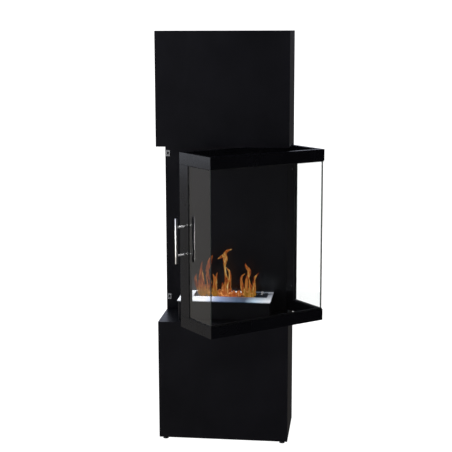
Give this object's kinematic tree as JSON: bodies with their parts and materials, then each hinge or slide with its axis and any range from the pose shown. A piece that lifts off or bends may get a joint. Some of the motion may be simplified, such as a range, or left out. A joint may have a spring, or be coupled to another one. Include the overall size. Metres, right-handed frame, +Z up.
{
  "type": "bioethanol fireplace",
  "caption": "Free-standing bioethanol fireplace: a lower and an upper cabinet joined by a shallow back column, an open burner between them and a wrap-around glass door on corner pivots.",
  "frame": {"origin": "middle of the footprint on the floor, with the door open as in the rest pose", "axes": "+Z up, +Y from the front to the back, +X to the right when facing the front"},
  "size_m": [0.578, 0.5168, 1.45],
  "materials": {
    "black_steel": "satin black powder coat",
    "door_black": "satin black powder coat, a little glossier than the cabinets",
    "stainless": "brushed along its length",
    "satin_steel": "satin brushed",
    "chrome": "polished",
    "magnet": "matt dark grey",
    "zinc": "bright zinc plated",
    "clear_glass": "clear, polished edges",
    "gasket": "matt black",
    "foot_plastic": "matt black",
    "ceramic_wool": "loose white fibre mat"
  },
  "bodies": {
    "body": {"lower_cabinet": "black_steel", "lower_base": "black_steel", "lower_rear_cover": "black_steel", "foot_1": "foot_plastic", "foot_2": "foot_plastic", "foot_3": "foot_plastic", "foot_4": "foot_plastic", "foot_screw_1": "zinc", "foot_screw_2": "zinc", "foot_screw_3": "zinc", "foot_screw_4": "zinc", "column": "black_steel", "column_rear_cover": "black_steel", "column_bolt_lower_left": "zinc", "column_bolt_lower_right": "zinc", "column_bolt_upper_left": "zinc", "column_bolt_upper_right": "zinc", "upper_cabinet": "black_steel", "upper_bottom": "black_steel", "upper_rear_cover": "black_steel", "catch_housing_upper": "chrome", "catch_housing_lower": "chrome", "catch_magnet_upper": "magnet", "catch_magnet_lower": "magnet", "top_pivot_pin": "zinc", "bottom_pivot_pin": "zinc", "pivot_spacer": "zinc", "burner_plinth": "black_steel", "hearth_plate": "stainless", "burner_box": "stainless", "ceramic_wool": "ceramic_wool"},
    "door": {"door_top_frame": "door_black", "door_bottom_frame": "door_black", "door_rear_rail": "door_black", "latch_stile": "door_black", "hinge_stile": "door_black", "clamp_screw_upper": "chrome", "clamp_screw_lower": "chrome", "front_glass": "clear_glass", "left_glass": "clear_glass", "right_glass": "clear_glass", "top_seal": "gasket", "bottom_seal": "gasket", "latch_seal": "gasket", "hinge_seal": "gasket", "handle_bar": "satin_steel", "handle_post_upper": "satin_steel", "handle_post_lower": "satin_steel", "handle_screw_upper": "zinc", "handle_screw_lower": "zinc", "strike_plate_upper": "zinc", "strike_plate_lower": "zinc", "pivot_bush_top": "foot_plastic", "pivot_bush_bottom": "foot_plastic"},
    "regulator": {"regulator_lid": "stainless", "regulator_knob": "chrome"}
  },
  "joints": [
    {"name": "door_hinge", "type": "hinge", "parent": "body", "child": "door", "pos_m": [0.16348, 0.1749, 0.4515], "axis": [0, 0, 1], "range_deg": [-39.7, 60.3]},
    {"name": "regulator_slide", "type": "slide", "parent": "body", "child": "regulator", "axis": [0, -1, 0], "range_m": [0, 0.0374]}
  ]
}
